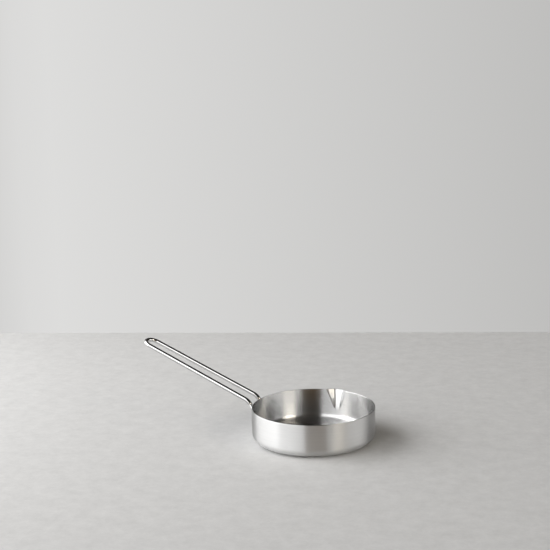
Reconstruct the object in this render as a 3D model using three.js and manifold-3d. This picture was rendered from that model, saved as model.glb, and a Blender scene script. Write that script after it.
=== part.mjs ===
// A small shallow steel pan with a pressed pour spout and a bent wire handle.
// Millimetres, +Z up. The origin is the centre of the flat base, the handle points
// along -X and the spout along +Y, on the left of whoever holds the handle.

import * as THREE from "three";
import { mergeVertices } from "three/addons/utils/BufferGeometryUtils.js";
import Module from "manifold-3d";

// Bowl: one drawn sheet of even thickness
const innerDiameter = 120;
const panHeight = 34.3;
const wallThickness = 1;
const innerCornerRadius = 6.5;

// Base: its middle is pressed down to a flat pad, so that the rounded corner stands clear of the table
const padStep = 1.8;
const padSlope = 3;
const padInset = 0.5;

// Spout: a beak pressed outwards, with two steep flanks and a flat nose, widest and deepest at the rim
const spoutWidth = 20.6;
const spoutFootWidth = 6;
const spoutDepth = 20.8;
const spoutReach = 5.2;
const spoutNoseWidth = 8.6;
const spoutSoftness = 0.18;

// Handle: one round rod bent to a long loop, with a foot at each end
const rodDiameter = 4.3;
const handleReach = 128.6;
const handleRise = THREE.MathUtils.degToRad(22.3);
const loopWidth = 16.4;
const footSpacing = 19.7;
const handleLift = -0.55;
const bendRadius = 13;

// Feet: the rod's ends, pressed flat against the wall
const footDrop = 21.5;
const footThickness = 2;
const footWidth = 7;
const pressRunOut = 4.5;
const footGap = 0.3;

// Spot welds: two in each foot, one above the other
const weldDiameter = 3.2;
const weldDepth = 0.8;
const weldClearance = 0.1;
const weldInset = 3.6;
const weldPitch = 5.6;
const electrodeMarkDiameter = 4;
const electrodeMarkDepth = 0.15;

// How finely round shapes are divided
const bowlSegments = 112;
const spoutCrowding = 0.7;
const cornerSteps = 6;
const spoutLevels = 6;
const rodSides = 16;
const bendSteps = 12;
const loopSteps = 7;
const straightSteps = 6;
const footSteps = 3;
const weldSides = 20;

// Sizes that follow from those above
const innerRadius = innerDiameter / 2;
const outerRadius = innerRadius + wallThickness;
const outerCornerRadius = innerCornerRadius + wallThickness;
const flatRadius = outerRadius - outerCornerRadius;
const padRadius = flatRadius - padInset - padSlope;
const wallBottom = padStep + outerCornerRadius;
const rimBevel = wallThickness / 3;
const rodRadius = rodDiameter / 2;
const footInnerFace = outerRadius + footGap;
const footAxisRadius = footInnerFace + rodRadius;
const footAzimuth = Math.asin(footSpacing / 2 / footAxisRadius);
const footBottom = panHeight - footDrop;

const wasm = await Module();
wasm.setup();

function toSolid(geometry) {
  const bare = geometry.clone();
  bare.deleteAttribute("normal");
  bare.deleteAttribute("uv");
  const merged = mergeVertices(bare);
  const vertProperties = Float32Array.from(merged.attributes.position.array);
  const triVerts = Uint32Array.from(merged.index.array);
  return new wasm.Manifold(new wasm.Mesh({ numProp: 3, vertProperties, triVerts }));
}

function toGeometry(solid) {
  const mesh = solid.getMesh();
  const geometry = new THREE.BufferGeometry();
  geometry.setAttribute("position", new THREE.BufferAttribute(mesh.vertProperties, 3));
  geometry.setIndex(new THREE.BufferAttribute(mesh.triVerts, 1));
  geometry.computeVertexNormals();
  return geometry;
}

// Keeps a value at zero or above, with a soft turn where it leaves zero.
function softFloor(value) {
  if (value <= -spoutSoftness) return 0;
  if (value >= spoutSoftness) return value;
  return (value + spoutSoftness) ** 2 / (4 * spoutSoftness);
}

// How the spout moves the wall at distance x from its middle and height z. The flanks run up to the
// flat nose with soft folds. The sheet keeps its length, so what is pushed out also comes down a little.
function spoutMove(x, z) {
  const rise = 1 - (panHeight - z) / spoutDepth;
  const halfWidth = THREE.MathUtils.lerp(spoutFootWidth, spoutWidth, Math.max(rise, 0)) / 2;
  const flank = (1 - Math.abs(x) / halfWidth) / (1 - spoutNoseWidth / spoutWidth);
  const across = softFloor(flank) - softFloor(flank - 1);
  const push = spoutReach * softFloor(rise) * across;
  const drop = push ** 2 / (2 * spoutDepth * Math.max(rise, spoutSoftness));
  return { push, drop };
}

// Half the bowl's section as radius and height: up the outside, over the rim and down the inside.
function bowlProfile() {
  const spoutBottom = panHeight - spoutDepth * (1 + spoutSoftness);
  const wallHeights = [];
  for (let level = 0; level <= spoutLevels; level += 1) {
    const height = THREE.MathUtils.lerp(spoutBottom, panHeight - rimBevel, level / spoutLevels);
    if (height > wallBottom) wallHeights.push(height);
  }
  const corner = (radius) => {
    const points = [];
    for (let step = 0; step <= cornerSteps; step += 1) {
      const angle = (Math.PI / 2) * (step / cornerSteps);
      const height = wallBottom - radius * Math.cos(angle);
      points.push(new THREE.Vector2(flatRadius + radius * Math.sin(angle), height));
    }
    return points;
  };
  return [
    new THREE.Vector2(0, 0),
    new THREE.Vector2(padRadius, 0),
    new THREE.Vector2(padRadius + padSlope, padStep),
    ...corner(outerCornerRadius),
    ...wallHeights.map((height) => new THREE.Vector2(outerRadius, height)),
    new THREE.Vector2(outerRadius - rimBevel, panHeight),
    new THREE.Vector2(innerRadius + rimBevel, panHeight),
    ...wallHeights.toReversed().map((height) => new THREE.Vector2(innerRadius, height)),
    ...corner(innerCornerRadius).toReversed(),
    new THREE.Vector2(padRadius + padSlope, padStep + wallThickness),
    new THREE.Vector2(padRadius, wallThickness),
    new THREE.Vector2(0, wallThickness),
  ];
}

function bowlGeometry() {
  const geometry = new THREE.LatheGeometry(bowlProfile(), bowlSegments);
  geometry.rotateX(Math.PI / 2);
  const position = geometry.attributes.position;
  for (let i = 0; i < position.count; i += 1) {
    const radius = Math.hypot(position.getX(i), position.getY(i));
    const even = Math.atan2(position.getX(i), position.getY(i));
    // Sections crowd together towards the spout, which needs the finer shape
    const angle = even - spoutCrowding * Math.sin(even);
    const x = radius * Math.sin(angle);
    const y = radius * Math.cos(angle);
    const z = position.getZ(i);
    const { push, drop } = y > 0 ? spoutMove(x, z) : { push: 0, drop: 0 };
    position.setXYZ(i, x, y + push, z - drop);
  }
  return toGeometry(toSolid(geometry));
}

// A centreline whose sections sit exactly on a list of stations.
class StationCurve extends THREE.Curve {
  constructor(stations) {
    super();
    this.stations = stations;
  }

  getUtoTmapping(u) {
    return u;
  }

  getPoint(t, target = new THREE.Vector3()) {
    const last = this.stations.length - 1;
    const index = Math.min(Math.floor(t * last), last - 1);
    return target.lerpVectors(this.stations[index], this.stations[index + 1], t * last - index);
  }

  getTangent(t, target = new THREE.Vector3()) {
    const last = this.stations.length - 1;
    const index = Math.round(t * last);
    const before = this.stations[Math.max(index - 1, 0)];
    const here = this.stations[index];
    const after = this.stations[Math.min(index + 1, last)];
    const arriving = here.clone().sub(before).normalize();
    const leaving = after.clone().sub(here).normalize();
    return target.addVectors(arriving, leaving).normalize();
  }

  // The centre and direction of the section that a point of the rod belongs to.
  sectionAt(point) {
    const distances = this.stations.map((station) => station.distanceTo(point));
    const index = distances.indexOf(Math.min(...distances));
    const direction = this.getTangent(index / (this.stations.length - 1));
    return { centre: this.stations[index], direction };
  }
}

// Stations along the arc that rounds the corner between two straight runs.
function filletStations(from, corner, to, radius, steps) {
  const back = from.clone().sub(corner).normalize();
  const ahead = to.clone().sub(corner).normalize();
  const half = back.angleTo(ahead) / 2;
  const middle = back.clone().add(ahead).normalize();
  const centre = corner.clone().addScaledVector(middle, radius / Math.sin(half));
  const start = corner.clone().addScaledVector(back, radius / Math.tan(half)).sub(centre);
  const axis = back.clone().cross(ahead).normalize();
  const turn = -(Math.PI - 2 * half);
  const stations = [];
  for (let step = 0; step <= steps; step += 1) {
    stations.push(start.clone().applyAxisAngle(axis, (turn * step) / steps).add(centre));
  }
  return stations;
}

function straightStations(from, to, steps) {
  const stations = [];
  for (let step = 1; step < steps; step += 1) {
    stations.push(from.clone().lerp(to, step / steps));
  }
  return stations;
}

// The rod's centreline from the foot at +Y, round the loop, to the foot at -Y.
function handleStations() {
  const footX = -footAxisRadius * Math.cos(footAzimuth);
  const run = outerRadius + handleReach - rodRadius + footX;
  const cornerHeight = panHeight + handleLift;
  const foot = new THREE.Vector3(footX, footSpacing / 2, footBottom);
  const corner = new THREE.Vector3(footX, footSpacing / 2, cornerHeight);
  const loopHeight = cornerHeight + run * Math.tan(handleRise);
  const loopCorner = new THREE.Vector3(footX - run, loopWidth / 2, loopHeight);
  const loopEnd = new THREE.Vector3(footX - run, 0, loopHeight);

  const opening = corner.clone().sub(loopCorner).angleTo(loopEnd.clone().sub(loopCorner));
  const loopRadius = (loopWidth / 2) * Math.tan(opening / 2);
  const bend = filletStations(foot, corner, loopCorner, bendRadius, bendSteps);
  const loop = filletStations(corner, loopCorner, loopEnd, loopRadius, loopSteps);
  const half = [
    foot,
    ...straightStations(foot, bend[0], footSteps),
    ...bend,
    ...straightStations(bend.at(-1), loop[0], straightSteps),
    ...loop,
  ];
  const mirrored = half.slice(0, -1).toReversed();
  return [...half, ...mirrored.map((point) => point.clone().setY(-point.y))];
}

// Directions at a foot: outwards from the wall, and along the wall.
function footAxes(side) {
  const outwards = new THREE.Vector3(-Math.cos(footAzimuth), side * Math.sin(footAzimuth), 0);
  const along = new THREE.Vector3(-side * Math.sin(footAzimuth), -Math.cos(footAzimuth), 0);
  return { outwards, along };
}

// Presses the rod's ends flat, each section in its own plane. From the rim's level downwards the outer
// side is pressed in first. A little lower the wall side is flattened too and the section widens.
function pressFeet(geometry, curve) {
  const position = geometry.attributes.position;
  for (let i = 0; i < position.count; i += 1) {
    const point = new THREE.Vector3().fromBufferAttribute(position, i);
    const { centre, direction } = curve.sectionAt(point);
    const faced = 1 - THREE.MathUtils.smoothstep(centre.z, panHeight - pressRunOut, panHeight);
    if (faced === 0) continue;
    const seatTop = panHeight - pressRunOut / 2;
    const seated = 1 - THREE.MathUtils.smoothstep(centre.z, seatTop - pressRunOut, seatTop);
    const { outwards, along } = footAxes(Math.sign(centre.y));
    const sideways = along.clone().addScaledVector(direction, -along.dot(direction)).normalize();
    const through = sideways.clone().cross(direction);
    if (through.dot(outwards) < 0) through.negate();
    const offset = point.clone().sub(centre);
    const depth = offset.dot(through);
    const halfThickness = footThickness / 2;
    const outerFace = THREE.MathUtils.lerp(rodRadius, footThickness - rodRadius, faced);
    const round = Math.min(depth, outerFace);
    const flat = THREE.MathUtils.clamp(depth, -halfThickness, halfThickness) + halfThickness - rodRadius;
    const widening = THREE.MathUtils.lerp(1, footWidth / rodDiameter, seated);
    point.copy(centre);
    point.addScaledVector(through, THREE.MathUtils.lerp(round, flat, seated));
    point.addScaledVector(sideways, offset.dot(sideways) * widening);
    position.setXYZ(i, point.x, point.y, point.z);
  }
}

// A short round peg square to the wall at a foot, from one distance off the wall to another.
function footPeg(side, height, diameter, from, to) {
  const { outwards } = footAxes(side);
  const geometry = new THREE.CylinderGeometry(diameter / 2, diameter / 2, to - from, weldSides);
  const turn = new THREE.Quaternion().setFromUnitVectors(new THREE.Vector3(0, 1, 0), outwards);
  geometry.applyQuaternion(turn);
  const centre = outwards.clone().multiplyScalar(outerRadius + (from + to) / 2);
  geometry.translate(centre.x, centre.y, height);
  return geometry;
}

const weldPlaces = [];
for (const [sideName, side] of [["left", 1], ["right", -1]]) {
  for (const [levelName, level] of [["lower", 0], ["upper", 1]]) {
    const height = footBottom + weldInset + level * weldPitch;
    weldPlaces.push({ name: `spot_weld_${sideName}_${levelName}`, side, height });
  }
}

function handleGeometry() {
  const curve = new StationCurve(handleStations());
  const section = new THREE.Shape().absarc(0, 0, rodRadius, 0, 2 * Math.PI);
  const rod = new THREE.ExtrudeGeometry(section, {
    steps: curve.stations.length - 1,
    curveSegments: rodSides / 2,
    extrudePath: curve,
  });
  pressFeet(rod, curve);
  let solid = toSolid(rod);
  for (const { side, height } of weldPlaces) {
    const pocketDiameter = weldDiameter + 2 * weldClearance;
    const pocketFloor = footGap + weldDepth + weldClearance;
    solid = solid.subtract(toSolid(footPeg(side, height, pocketDiameter, 0, pocketFloor)));
    const markFloor = footGap + footThickness - electrodeMarkDepth;
    const mark = footPeg(side, height, electrodeMarkDiameter, markFloor, markFloor + rodDiameter);
    solid = solid.subtract(toSolid(mark));
  }
  return toGeometry(solid);
}

function weldGeometry({ side, height }) {
  return footPeg(side, height, weldDiameter, weldClearance, footGap + weldDepth);
}

const pan = new THREE.Group();

function addPiece(name, geometry, color, roughness) {
  const material = new THREE.MeshStandardMaterial({ color, roughness, metalness: 1 });
  const mesh = new THREE.Mesh(geometry, material);
  mesh.name = name;
  pan.add(mesh);
}

addPiece("pan_bowl", bowlGeometry(), 0xc8c7c3, 0.35);
addPiece("handle_rod", handleGeometry(), 0xd6d6d6, 0.1);
for (const place of weldPlaces) {
  addPiece(place.name, weldGeometry(place), 0xa9a39b, 0.6);
}

export default pan;
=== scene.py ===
"""Looks for the small steel pan: brushed bowl with a pour spout, polished wire handle, pale studio."""

import math

import bpy
import numpy as np
from mathutils import Matrix, Vector


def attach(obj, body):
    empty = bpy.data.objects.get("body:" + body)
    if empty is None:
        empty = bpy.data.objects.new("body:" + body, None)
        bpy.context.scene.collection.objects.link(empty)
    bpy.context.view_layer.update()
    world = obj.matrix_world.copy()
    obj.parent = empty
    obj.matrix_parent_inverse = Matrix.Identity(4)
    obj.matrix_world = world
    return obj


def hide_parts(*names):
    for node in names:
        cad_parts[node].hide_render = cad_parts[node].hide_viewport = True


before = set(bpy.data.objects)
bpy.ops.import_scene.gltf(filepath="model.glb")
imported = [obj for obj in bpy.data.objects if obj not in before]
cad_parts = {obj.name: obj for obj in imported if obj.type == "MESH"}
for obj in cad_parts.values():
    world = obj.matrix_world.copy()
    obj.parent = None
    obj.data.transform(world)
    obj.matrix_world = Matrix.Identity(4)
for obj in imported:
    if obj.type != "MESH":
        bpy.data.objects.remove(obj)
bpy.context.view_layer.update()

MM = 0.001

# Bowl, in millimetres, the same sizes as the solids. The rim's rounding is a share of the sheet.
INNER_RADIUS = 60.0
PAN_HEIGHT = 34.3
SHEET = 1.0
OUTER_RADIUS = INNER_RADIUS + SHEET
INNER_CORNER = 6.5
OUTER_CORNER = INNER_CORNER + SHEET
RIM_ROUNDING = 0.42

# Base pad that the pan stands on, in millimetres
PAD_RADIUS = 50.0
PAD_STEP = 1.8
PAD_SLOPE = 3.0

# Spout, in millimetres. Its softness is a share of its depth and of its flanks' width.
SPOUT_WIDTH = 20.6
SPOUT_FOOT_WIDTH = 6.0
SPOUT_DEPTH = 20.8
SPOUT_REACH = 5.2
SPOUT_NOSE_WIDTH = 8.6
SPOUT_SOFTNESS = 0.18

# Handle rod, in millimetres
ROD_RADIUS = 2.15
HANDLE_REACH = 128.6
HANDLE_RISE = math.radians(22.3)
LOOP_WIDTH = 16.4
HANDLE_LIFT = -0.55
BEND_RADIUS = 13.0

# Feet, in millimetres
FOOT_SPACING = 19.7
FOOT_DROP = 21.5
FOOT_THICKNESS = 2.0
FOOT_WIDTH = 7.0
PRESS_RUN_OUT = 4.5
FOOT_GAP = 0.3
FOOT_EDGE = 0.45

# Weld marks, in millimetres, with their heights above the foot's lower end
WELD_HEIGHTS = (3.6, 9.2)
MARK_RADIUS = 2.0
MARK_DEPTH = 0.15

# Share of a mark's radius that is flat, and share of the foot's half thickness from which it is marked
MARK_FLAT = 0.86
MARKED_SHARE = 0.98

# How finely the shapes are divided. Crowding draws the bowl's segments together at the spout.
BOWL_SEGMENTS = 360
SPOUT_CROWDING = 0.86
PAD_RINGS = 10
SLOPE_RINGS = 6
CORNER_RINGS = 12
WALL_RINGS = 30
RIM_RINGS = 5
ROD_SIDES = 48
BEND_STEPS = 48
LOOP_STEPS = 24

# Smallest ring of the base and distance between rod sections, in millimetres
CENTRE_RING = 0.6
FOOT_STEP = 0.3
ROD_STEP = 3.0

# Sizes that follow from those above
FLAT_RADIUS = OUTER_RADIUS - OUTER_CORNER
WALL_BOTTOM = PAD_STEP + OUTER_CORNER
FOOT_BOTTOM = PAN_HEIGHT - FOOT_DROP
PRESSED_BELOW = PAN_HEIGHT - PRESS_RUN_OUT
SEATED_FROM = PAN_HEIGHT - PRESS_RUN_OUT / 2
SEATED_BELOW = PAN_HEIGHT - 1.5 * PRESS_RUN_OUT
FOOT_AXIS = OUTER_RADIUS + FOOT_GAP + ROD_RADIUS
FOOT_AZIMUTH = math.asin(FOOT_SPACING / 2 / FOOT_AXIS)

# Millimetres along the bowl's section for one unit of its brushing coordinate
BRUSH_UNIT = 100

# Camera, found from the rim, base and handle edges. It stands off from the middle of the rim.
CAMERA_AZIMUTH = math.radians(24.0)
CAMERA_ELEVATION = math.radians(17.274)
CAMERA_DISTANCE = 1288.7
CAMERA_YAW = math.radians(-1.622)
CAMERA_PITCH = math.radians(-11.468)
CAMERA_ROLL = math.radians(-1.335)
CAMERA_LENS = 85.0
CAMERA_SENSOR = 36.0

# Table, in millimetres: how far it goes on, how far behind the pan it ends and the slant of that edge
TABLE_REACH = 20000
TABLE_END = 437
TABLE_SLANT = -0.06
TABLE_GREYS = ((0.505, 0.505, 0.503), (0.765, 0.765, 0.763))

# Steel finishes: roughness from and to, then the two colours that the tint wanders between
OUTSIDE_FINISH = (0.32, 0.36, (0.57, 0.57, 0.57), (0.64, 0.64, 0.635))
# The inside's two colours are set lighter than the outside's. This is painted light for the brighter
# inside of the bowl; its lower roughness is the inside's own finish.
INSIDE_FINISH_AND_PAINTED_LIGHT = (0.25, 0.28, (0.625, 0.625, 0.625), (0.655, 0.655, 0.65))
ROD_FINISH = (0.05, 0.13, (0.57, 0.57, 0.565), (0.64, 0.64, 0.635))
WELD_FINISH = (0.45, 0.7, (0.33, 0.30, 0.27), (0.48, 0.46, 0.44))

# Grain: how much slower it changes across its third direction, and the rod's rubbing per metre
GRAIN_SKEW = 0.37
RUB_SCALE = (90, 700, 700)

# Soft lamp: metres wide, high and away, degrees round the pan and up
SOFTBOX_WIDTH = 1.0
SOFTBOX_HEIGHT = 1.1
SOFTBOX_AWAY = 0.8
SOFTBOX_ROUND = math.radians(-96)
SOFTBOX_UP = math.radians(22)
SOFTBOX_WATTS = 6.8

# Studio seen from the pan. Each band gives the angles above the horizon over which it comes in and
# fades out, then its light at angles round the pan, in degrees: 0 towards the camera, 90 to the right.
DARK = (0.03, 0.027, 0.024)
FROM_BELOW = (-89, -80)
WINDOW_LEFT = (FROM_BELOW, (46, 60), (
    (-150, (0.05, 0.05, 0.05)),
    (-132, (0.80, 0.80, 0.80)),
    (-114, (1.90, 1.90, 1.90)),
    (-90, (2.15, 2.15, 2.15)),
    (-66, (2.30, 2.30, 2.30)),
    (-48, (2.90, 2.90, 2.90)),
    (-18, (1.90, 1.90, 1.89)),
    (-15.5, (0.0, 0.0, 0.0)),
))
FILL_RIGHT = ((19, 25), (30, 39), (
    (36, (0.0, 0.0, 0.0)),
    (40, (7.84, 7.23, 6.27)),
    (52, (8.64, 7.97, 6.91)),
    (59, (7.04, 6.50, 5.63)),
    (66, (0.0, 0.0, 0.0)),
))
SIDE_RIGHT = (FROM_BELOW, (9, 18), (
    (22, (0.0, 0.0, 0.0)),
    (25, (2.30, 2.23, 2.11)),
    (36, (1.80, 1.75, 1.66)),
    (44, (0.60, 0.58, 0.56)),
    (54, (0.66, 0.64, 0.62)),
    (66, (3.20, 3.14, 3.06)),
    (92, (3.60, 3.54, 3.48)),
    (114, (1.00, 0.99, 0.98)),
    (120, (0.05, 0.05, 0.05)),
))
FLOOR_FRONT = (FROM_BELOW, (8, 18), (
    (-18, (0.0, 0.0, 0.0)),
    (-14, (0.36, 0.17, 0.0)),
    (22, (0.36, 0.17, 0.0)),
    (25, (0.0, 0.0, 0.0)),
))
BACKDROP = (FROM_BELOW, (3, 10), (
    (-180, (0.54, 0.54, 0.535)),
    (-168, (0.65, 0.65, 0.645)),
    (-150, (0.0, 0.0, 0.0)),
    (150, (0.0, 0.0, 0.0)),
    (168, (0.43, 0.43, 0.425)),
    (180, (0.54, 0.54, 0.535)),
))
STUDIO = (WINDOW_LEFT, FILL_RIGHT, SIDE_RIGHT, FLOOR_FRONT, BACKDROP)


def new_mesh(name, verts, faces, uvs=None):
    """A smooth-shaded object from millimetre points, with per-corner UVs where they are given."""
    mesh = bpy.data.meshes.new(name)
    mesh.from_pydata([tuple(v * MM for v in p) for p in verts], [], faces)
    mesh.polygons.foreach_set("use_smooth", [True] * len(mesh.polygons))
    if uvs is not None:
        layer = mesh.uv_layers.new(name="brush")
        layer.data.foreach_set("uv", [c for face in uvs for corner in face for c in corner])
    mesh.validate()
    mesh.update()
    obj = bpy.data.objects.new(name, mesh)
    bpy.context.scene.collection.objects.link(obj)
    return obj


def smooth_step(value, low, high):
    """Rises from 0 at low to 1 at high, level at both ends."""
    t = min(max((value - low) / (high - low), 0.0), 1.0)
    return t * t * (3 - 2 * t)


def soft_floor(value):
    """Keeps a value at zero or above, with a soft turn where it leaves zero."""
    soft = (value + SPOUT_SOFTNESS) ** 2 / (4 * SPOUT_SOFTNESS)
    return np.where(value <= -SPOUT_SOFTNESS, 0, np.where(value >= SPOUT_SOFTNESS, value, soft))


def spout_move(x, z):
    """How far the spout pushes the wall out and down at distance x from its middle and height z."""
    rise = 1 - (PAN_HEIGHT - z) / SPOUT_DEPTH
    half = (SPOUT_FOOT_WIDTH + (SPOUT_WIDTH - SPOUT_FOOT_WIDTH) * np.maximum(rise, 0)) / 2
    flank = (1 - np.abs(x) / half) / (1 - SPOUT_NOSE_WIDTH / SPOUT_WIDTH)
    across = soft_floor(flank) - soft_floor(flank - 1)
    push = SPOUT_REACH * soft_floor(rise) * across
    drop = push ** 2 / (2 * SPOUT_DEPTH * np.maximum(rise, SPOUT_SOFTNESS))
    return push, drop


def base_corner(radius):
    """Points of the rounded corner between base and wall, from the base up."""
    angles = np.linspace(0, math.pi / 2, CORNER_RINGS + 1)
    return [(FLAT_RADIUS + radius * math.sin(a), WALL_BOTTOM - radius * math.cos(a)) for a in angles]


def bowl_section():
    """Half the bowl's section as (radius, height), from the base's underside over the rim to the floor."""
    pad = [(r, 0.0) for r in np.linspace(CENTRE_RING, PAD_RADIUS, PAD_RINGS)]
    slope = []
    for share in np.linspace(0, 1, SLOPE_RINGS + 1)[1:]:
        slope.append((PAD_RADIUS + PAD_SLOPE * share, PAD_STEP * smooth_step(share, 0, 1)))
    base = pad + slope
    lip = SHEET * RIM_ROUNDING
    heights = list(np.linspace(WALL_BOTTOM, PAN_HEIGHT - lip, WALL_RINGS + 1))[1:]
    wall = [(OUTER_RADIUS, h) for h in heights]
    rim_outside = []
    for angle in np.linspace(0, math.pi / 2, RIM_RINGS + 1)[1:]:
        radius = OUTER_RADIUS - lip * (1 - math.cos(angle))
        rim_outside.append((radius, PAN_HEIGHT - lip * (1 - math.sin(angle))))
    rim_inside = [(INNER_RADIUS + OUTER_RADIUS - r, h) for r, h in rim_outside[::-1]]
    inner_wall = [(INNER_RADIUS, h) for h in heights[::-1]]
    floor = [(r, h + SHEET) for r, h in base[::-1]]
    outside = base + base_corner(OUTER_CORNER) + wall + rim_outside
    return outside + rim_inside + inner_wall + base_corner(INNER_CORNER)[::-1] + floor


def bowl_angles():
    """Angles round the bowl from the spout's middle, close together across the spout."""
    even = np.linspace(-math.pi, math.pi, BOWL_SEGMENTS, endpoint=False)
    return even - SPOUT_CROWDING * np.sin(even)


def make_bowl():
    """The drawn sheet with its spout. U runs along the section and V round the bowl."""
    section = np.array(bowl_section())
    angles = bowl_angles()
    steps = np.hypot(*np.diff(section, axis=0).T)
    along = np.concatenate([[0], np.cumsum(steps)]) / BRUSH_UNIT
    verts = []
    for angle in angles:
        x = section[:, 0] * math.sin(angle)
        y = section[:, 0] * math.cos(angle)
        z = section[:, 1]
        push, drop = spout_move(x, z) if math.cos(angle) > 0 else (0 * x, 0 * x)
        verts.extend(zip(x, y + push, z - drop))
    count, rows = len(angles), len(section)
    faces, uvs = [], []
    for i in range(count):
        j = (i + 1) % count
        v0 = angles[i] / (2 * math.pi)
        v1 = angles[j] / (2 * math.pi) + (1 if j == 0 else 0)
        for k in range(rows - 1):
            faces.append((i * rows + k, i * rows + k + 1, j * rows + k + 1, j * rows + k))
            uvs.append(((along[k], v0), (along[k + 1], v0), (along[k + 1], v1), (along[k], v1)))
    underside = [i * rows for i in range(count)]
    floor_middle = [i * rows + rows - 1 for i in range(count)]
    faces += [underside, floor_middle[::-1]]
    uvs += [[(0.0, 0.0)] * count, [(along[-1], 0.0)] * count]
    bowl = new_mesh("bowl", verts, faces, uvs)
    rim = int(np.argmax(section[:, 1]))
    inside = [k >= rim for _ in range(count) for k in range(rows - 1)] + [False, True]
    bowl.data.polygons.foreach_set("material_index", inside)
    return bowl


def fillet(before, corner, after, radius, steps):
    """Points along the arc that rounds the corner between two straight runs."""
    back = (before - corner).normalized()
    ahead = (after - corner).normalized()
    half = back.angle(ahead) / 2
    centre = corner + (back + ahead).normalized() * (radius / math.sin(half))
    start = corner + back * (radius / math.tan(half)) - centre
    axis = back.cross(ahead).normalized()
    turn = -(math.pi - 2 * half)
    return [Matrix.Rotation(turn * s / steps, 3, axis) @ start + centre for s in range(steps + 1)]


def straight(start, end, step):
    """Points between two ends, without the ends, about one step apart."""
    count = max(2, round((end - start).length / step))
    return [start.lerp(end, s / count) for s in range(1, count)]


def handle_path():
    """The rod's centreline from the foot at +Y, round the loop, to the foot at -Y."""
    foot_x = -FOOT_AXIS * math.cos(FOOT_AZIMUTH)
    run = OUTER_RADIUS + HANDLE_REACH - ROD_RADIUS + foot_x
    height = PAN_HEIGHT + HANDLE_LIFT
    foot = Vector((foot_x, FOOT_SPACING / 2, FOOT_BOTTOM))
    corner = Vector((foot_x, FOOT_SPACING / 2, height))
    top = height + run * math.tan(HANDLE_RISE)
    loop_corner = Vector((foot_x - run, LOOP_WIDTH / 2, top))
    loop_end = Vector((foot_x - run, 0, top))
    opening = (corner - loop_corner).angle(loop_end - loop_corner)
    loop_radius = LOOP_WIDTH / 2 * math.tan(opening / 2)
    bend = fillet(foot, corner, loop_corner, BEND_RADIUS, BEND_STEPS)
    loop = fillet(corner, loop_corner, loop_end, loop_radius, LOOP_STEPS)
    rise = straight(foot, bend[0], FOOT_STEP)
    arm = straight(bend[-1], loop[0], ROD_STEP)
    half = [foot] + rise + bend + arm + loop
    return half + [Vector((p.x, -p.y, p.z)) for p in half[-2::-1]]


def path_direction(path, index):
    """Which way a path of points runs at one of them."""
    arriving = (path[index] - path[max(index - 1, 0)]).normalized()
    leaving = (path[min(index + 1, len(path) - 1)] - path[index]).normalized()
    return (arriving + leaving).normalized()


def rod_section(centre, sideways, through):
    """Points round the rod at one place. At the feet, through points away from the wall."""
    half = FOOT_THICKNESS / 2
    middle = half - ROD_RADIUS
    # Below the rim the rod's outer side is pressed in, and lower still it is a flat strip
    pressed = 1 - smooth_step(centre.z, PRESSED_BELOW, PAN_HEIGHT)
    seated = 1 - smooth_step(centre.z, SEATED_BELOW, SEATED_FROM)
    face = ROD_RADIUS + (FOOT_THICKNESS - 2 * ROD_RADIUS) * pressed
    widening = 1 + (FOOT_WIDTH / (2 * ROD_RADIUS) - 1) * seated
    above_end = max(centre.z - FOOT_BOTTOM, 0.0)
    inset = 0.0
    if above_end < FOOT_EDGE:
        inset = FOOT_EDGE - math.sqrt(FOOT_EDGE ** 2 - (FOOT_EDGE - above_end) ** 2)
    points = []
    for k in range(ROD_SIDES):
        angle = 2 * math.pi * k / ROD_SIDES
        deep = ROD_RADIUS * math.sin(angle)
        flat = min(max(deep, -half), half) + middle
        deep = min(deep, face) * (1 - seated) + flat * seated
        deep = middle + (deep - middle) * (1 - inset / half)
        wide = ROD_RADIUS * math.cos(angle) * widening * (1 - inset / (FOOT_WIDTH / 2))
        if seated == 1 and deep - middle > MARKED_SHARE * (half - inset):
            for height in WELD_HEIGHTS:
                reach = math.hypot(wide, above_end - height) / MARK_RADIUS
                deep -= MARK_DEPTH * (1 - smooth_step(reach, MARK_FLAT, 1.0))
        points.append(centre + through * deep + sideways * wide)
    return points


def make_handle():
    """The bent rod as one swept skin, pressed flat and rounded off at its feet."""
    path = handle_path()
    verts, faces = [], []
    sideways = Vector((-math.sin(FOOT_AZIMUTH), -math.cos(FOOT_AZIMUTH), 0))
    for index, centre in enumerate(path):
        direction = path_direction(path, index)
        # Each section is carried on from the one before, so that the skin never twists
        sideways = (sideways - direction * sideways.dot(direction)).normalized()
        verts.extend(rod_section(centre, sideways, sideways.cross(direction)))
    for first in range(0, len(verts) - ROD_SIDES, ROD_SIDES):
        second = first + ROD_SIDES
        for k in range(ROD_SIDES):
            n = (k + 1) % ROD_SIDES
            faces.append((first + k, first + n, second + n, second + k))
    faces.append(list(range(ROD_SIDES))[::-1])
    faces.append(list(range(len(verts) - ROD_SIDES, len(verts))))
    return new_mesh("handle", verts, faces)


def new_material(name, metallic=0.0):
    """A material with one principled shader, and its node tree."""
    material = bpy.data.materials.new(name)
    material.use_nodes = True
    tree = material.node_tree
    tree.nodes.clear()
    output = tree.nodes.new("ShaderNodeOutputMaterial")
    shader = tree.nodes.new("ShaderNodeBsdfPrincipled")
    shader.inputs["Metallic"].default_value = metallic
    tree.links.new(shader.outputs["BSDF"], output.inputs["Surface"])
    return material, tree, shader


def math_node(tree, operation, first, second=None):
    """One step of arithmetic on sockets or plain numbers."""
    node = tree.nodes.new("ShaderNodeMath")
    node.operation = operation
    for socket, value in zip(node.inputs, (first, second)):
        if value is None:
            continue
        if isinstance(value, (int, float)):
            socket.default_value = value
        else:
            tree.links.new(value, socket)
    return node.outputs[0]


def object_coordinates(tree):
    """The place on the piece, in metres."""
    return tree.nodes.new("ShaderNodeTexCoord").outputs["Object"]


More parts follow.
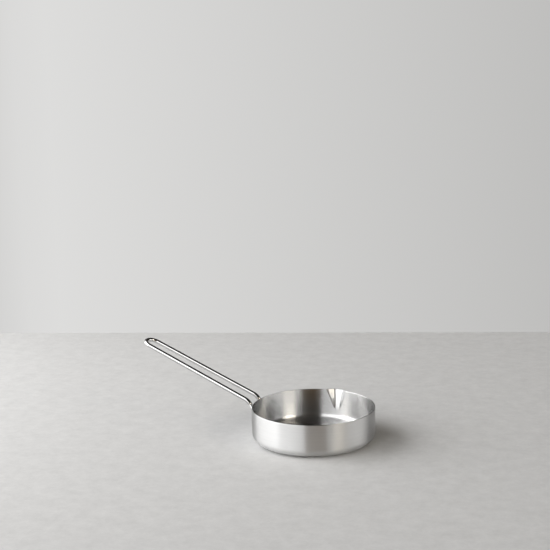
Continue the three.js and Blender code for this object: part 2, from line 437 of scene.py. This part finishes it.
def noise(tree, vector, scale, detail=2.0, roughness=0.5):
    """Soft noise from 0 to 1."""
    node = tree.nodes.new("ShaderNodeTexNoise")
    node.inputs["Scale"].default_value = scale
    node.inputs["Detail"].default_value = detail
    node.inputs["Roughness"].default_value = roughness
    tree.links.new(vector, node.inputs["Vector"])
    return node.outputs["Fac"]


def grain_vector(tree, pitch, spread):
    """Coordinates in which noise forms fine lines round the bowl's axis: short across, long along."""
    split = tree.nodes.new("ShaderNodeSeparateXYZ")
    tree.links.new(object_coordinates(tree), split.inputs[0])
    x, y, z = split.outputs
    x_squared = math_node(tree, "MULTIPLY", x, x)
    y_squared = math_node(tree, "MULTIPLY", y, y)
    radius = math_node(tree, "SQRT", math_node(tree, "ADD", x_squared, y_squared))
    turn = math_node(tree, "MULTIPLY", math_node(tree, "ARCTAN2", x, y), spread)
    across = math_node(tree, "MULTIPLY", math_node(tree, "ADD", radius, z), pitch)
    lift = math_node(tree, "MULTIPLY", math_node(tree, "SUBTRACT", radius, z), pitch * GRAIN_SKEW)
    join = tree.nodes.new("ShaderNodeCombineXYZ")
    for socket, value in zip(join.inputs, (turn, across, lift)):
        tree.links.new(value, socket)
    return join.outputs[0]


def tinted(tree, shader, value, dark, light):
    """Base colour that wanders between two colours."""
    mix = tree.nodes.new("ShaderNodeMix")
    mix.data_type = "RGBA"
    mix.inputs["A"].default_value = (*dark, 1)
    mix.inputs["B"].default_value = (*light, 1)
    tree.links.new(value, mix.inputs["Factor"])
    tree.links.new(mix.outputs["Result"], shader.inputs["Base Color"])


def roughened(tree, shader, value, smooth, rough):
    """Roughness that follows a 0 to 1 value."""
    node = tree.nodes.new("ShaderNodeMapRange")
    node.inputs["To Min"].default_value = smooth
    node.inputs["To Max"].default_value = rough
    tree.links.new(value, node.inputs["Value"])
    tree.links.new(node.outputs["Result"], shader.inputs["Roughness"])


def bumped(tree, shader, height, strength, distance):
    """Fine relief from a 0 to 1 value, with its depth in metres."""
    bump = tree.nodes.new("ShaderNodeBump")
    bump.inputs["Strength"].default_value = strength
    bump.inputs["Distance"].default_value = distance
    tree.links.new(height, bump.inputs["Height"])
    tree.links.new(bump.outputs["Normal"], shader.inputs["Normal"])


def brushed_steel(name, finish):
    """Stainless sheet brushed round the bowl: reflections stay sharp round it and smear up and down."""
    smooth, rough, dark, light = finish
    material, tree, shader = new_material(name, metallic=1.0)
    shader.inputs["Anisotropic"].default_value = 1.0
    tangent = tree.nodes.new("ShaderNodeTangent")
    tangent.direction_type = "UV_MAP"
    tangent.uv_map = "brush"
    tree.links.new(tangent.outputs[0], shader.inputs["Tangent"])
    fine = noise(tree, grain_vector(tree, pitch=2600, spread=3.0), scale=1.0, detail=3.0, roughness=0.6)
    broad = noise(tree, grain_vector(tree, pitch=500, spread=1.2), scale=1.0)
    tinted(tree, shader, broad, dark, light)
    roughened(tree, shader, fine, smooth, rough)
    bumped(tree, shader, fine, strength=0.2, distance=0.00004)
    return material


def polished_steel(name, finish):
    """Bright drawn rod with faint lengthwise rubbing."""
    smooth, rough, dark, light = finish
    material, tree, shader = new_material(name, metallic=1.0)
    stretch = tree.nodes.new("ShaderNodeMapping")
    stretch.inputs["Scale"].default_value = RUB_SCALE
    stretch.inputs["Rotation"].default_value = (0, HANDLE_RISE, 0)
    tree.links.new(object_coordinates(tree), stretch.inputs["Vector"])
    rub = noise(tree, stretch.outputs[0], scale=1.0, detail=3.0)
    tinted(tree, shader, rub, dark, light)
    roughened(tree, shader, rub, smooth, rough)
    return material


def fused_steel(name, finish):
    """Dull fused metal of the spot welds, with a little heat colour."""
    smooth, rough, dark, light = finish
    material, tree, shader = new_material(name, metallic=1.0)
    mottle = noise(tree, object_coordinates(tree), scale=900.0, detail=4.0)
    tinted(tree, shader, mottle, dark, light)
    roughened(tree, shader, mottle, smooth, rough)
    bumped(tree, shader, mottle, strength=0.3, distance=0.0001)
    return material


def table_material():
    """Pale grey table with a fine mottle."""
    material, tree, shader = new_material("table")
    mottle = noise(tree, object_coordinates(tree), scale=60.0, detail=6.0, roughness=0.8)
    tinted(tree, shader, mottle, *TABLE_GREYS)
    shader.inputs["Roughness"].default_value = 0.75
    shader.inputs["Specular IOR Level"].default_value = 0.2
    return material


def from_camera_side(x, y, z):
    """A point given as right, away from the camera and up, turned into the row frame."""
    c, s = math.cos(CAMERA_AZIMUTH), math.sin(CAMERA_AZIMUTH)
    return Vector((c * x - s * y, s * x + c * y, z))


def make_floor():
    """A flat table top, whose far edge shows behind the pan."""
    slant = TABLE_SLANT * TABLE_REACH
    outline = (
        (-TABLE_REACH, -TABLE_REACH),
        (TABLE_REACH, -TABLE_REACH),
        (TABLE_REACH, TABLE_END + slant),
        (-TABLE_REACH, TABLE_END - slant),
    )
    corners = [from_camera_side(x, y, 0) for x, y in outline]
    floor = new_mesh("table_top", corners, [(0, 1, 2, 3)])
    floor.data.materials.append(table_material())


def make_camera():
    """The photo's view: placed about the middle of the rim, then turned by yaw, pitch and roll."""
    data = bpy.data.cameras.new("camera")
    data.lens = CAMERA_LENS
    data.sensor_width = CAMERA_SENSOR
    data.clip_start, data.clip_end = 0.01, 50
    camera = bpy.data.objects.new("camera", data)
    bpy.context.scene.collection.objects.link(camera)
    cp, sp = math.cos(CAMERA_PITCH), math.sin(CAMERA_PITCH)
    cy, sy = math.cos(CAMERA_YAW), math.sin(CAMERA_YAW)
    cr, sr = math.cos(CAMERA_ROLL), math.sin(CAMERA_ROLL)
    forward = from_camera_side(sy * cp, cy * cp, sp)
    level = from_camera_side(cy, -sy, 0)
    upright = level.cross(forward)
    right = level * cr + upright * sr
    up = upright * cr - level * sr
    back = CAMERA_DISTANCE * math.cos(CAMERA_ELEVATION)
    height = PAN_HEIGHT + CAMERA_DISTANCE * math.sin(CAMERA_ELEVATION)
    place = from_camera_side(0, -back, height) * MM
    camera.matrix_world = Matrix((
        (right.x, up.x, -forward.x, place.x),
        (right.y, up.y, -forward.y, place.y),
        (right.z, up.z, -forward.z, place.z),
        (0, 0, 0, 1),
    ))
    bpy.context.scene.camera = camera


def angle_ramp(tree, share, stops):
    """Light that changes with the angle round the pan."""
    ramp = tree.nodes.new("ShaderNodeValToRGB")
    elements = ramp.color_ramp.elements
    for index, (degrees, light) in enumerate(stops):
        place = (degrees + 180) / 360
        stop = elements[index] if index < 2 else elements.new(place)
        stop.position = place
        stop.color = (*light, 1)
    tree.links.new(share, ramp.inputs["Fac"])
    return ramp.outputs["Color"]


def height_share(tree, z, fade):
    """Rises from 0 to 1 between two angles above the horizon."""
    node = tree.nodes.new("ShaderNodeMapRange")
    node.interpolation_type = "SMOOTHSTEP"
    node.inputs["From Min"].default_value = math.sin(math.radians(fade[0]))
    node.inputs["From Max"].default_value = math.sin(math.radians(fade[1]))
    tree.links.new(z, node.inputs["Value"])
    return node.outputs["Result"]


def add_colour(tree, share, first, second):
    """The first colour plus a share of the second. The first may be a plain colour."""
    mix = tree.nodes.new("ShaderNodeMixRGB")
    mix.blend_type = "ADD"
    tree.links.new(share, mix.inputs["Fac"])
    if isinstance(first, tuple):
        mix.inputs["Color1"].default_value = first
    else:
        tree.links.new(first, mix.inputs["Color1"])
    tree.links.new(second, mix.inputs["Color2"])
    return mix.outputs["Color"]


def make_world():
    """Soft studio all round: big light on the left, warm ones on the right, dark gaps and ceiling."""
    world = bpy.data.worlds.new("studio")
    bpy.context.scene.world = world
    world.use_nodes = True
    tree = world.node_tree
    tree.nodes.clear()
    output = tree.nodes.new("ShaderNodeOutputWorld")
    background = tree.nodes.new("ShaderNodeBackground")
    tree.links.new(background.outputs[0], output.inputs["Surface"])
    coords = tree.nodes.new("ShaderNodeTexCoord")
    turn = tree.nodes.new("ShaderNodeMapping")
    turn.inputs["Rotation"].default_value = (0, 0, -CAMERA_AZIMUTH)
    tree.links.new(coords.outputs["Generated"], turn.inputs["Vector"])
    split = tree.nodes.new("ShaderNodeSeparateXYZ")
    tree.links.new(turn.outputs[0], split.inputs[0])
    x, y, z = split.outputs
    angle = math_node(tree, "ARCTAN2", x, math_node(tree, "MULTIPLY", y, -1.0))
    share = math_node(tree, "ADD", math_node(tree, "MULTIPLY", angle, 1 / (2 * math.pi)), 0.5)
    light = (*DARK, 1)
    for bottom, top, stops in STUDIO:
        band = math_node(tree, "SUBTRACT", height_share(tree, z, bottom), height_share(tree, z, top))
        light = add_colour(tree, band, light, angle_ramp(tree, share, stops))
    tree.links.new(light, background.inputs["Color"])


def make_softbox():
    """A soft lamp on the left, which gives the table its fall-off and the pan its shadow."""
    data = bpy.data.lights.new("softbox_left", "AREA")
    data.shape = "RECTANGLE"
    data.size = SOFTBOX_WIDTH
    data.size_y = SOFTBOX_HEIGHT
    data.energy = SOFTBOX_WATTS
    lamp = bpy.data.objects.new("softbox_left", data)
    bpy.context.scene.collection.objects.link(lamp)
    level = math.cos(SOFTBOX_UP)
    right, away = math.sin(SOFTBOX_ROUND) * level, -math.cos(SOFTBOX_ROUND) * level
    direction = from_camera_side(right, away, math.sin(SOFTBOX_UP))
    lamp.location = direction * SOFTBOX_AWAY
    lamp.rotation_mode = "QUATERNION"
    lamp.rotation_quaternion = direction.to_track_quat("Z", "Y")


def dress(piece, node, material):
    """Puts a detailed piece in the place of a solid."""
    piece.data.materials.append(material)
    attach(piece, "root")
    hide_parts(node)


make_camera()
make_floor()
make_world()
make_softbox()
bowl = make_bowl()
dress(bowl, "pan_bowl", brushed_steel("bowl_outside", OUTSIDE_FINISH))
# The inside is the same steel with a lighter tint, which is painted light, and a smoother finish.
bowl.data.materials.append(brushed_steel("bowl_inside_painted_lighter", INSIDE_FINISH_AND_PAINTED_LIGHT))
dress(make_handle(), "handle_rod", polished_steel("handle_steel", ROD_FINISH))
weld_material = fused_steel("weld_steel", WELD_FINISH)
for name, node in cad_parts.items():
    if name.startswith("spot_weld"):
        node.data.materials.clear()
        node.data.materials.append(weld_material)

bpy.context.scene.view_settings.view_transform = "Standard"
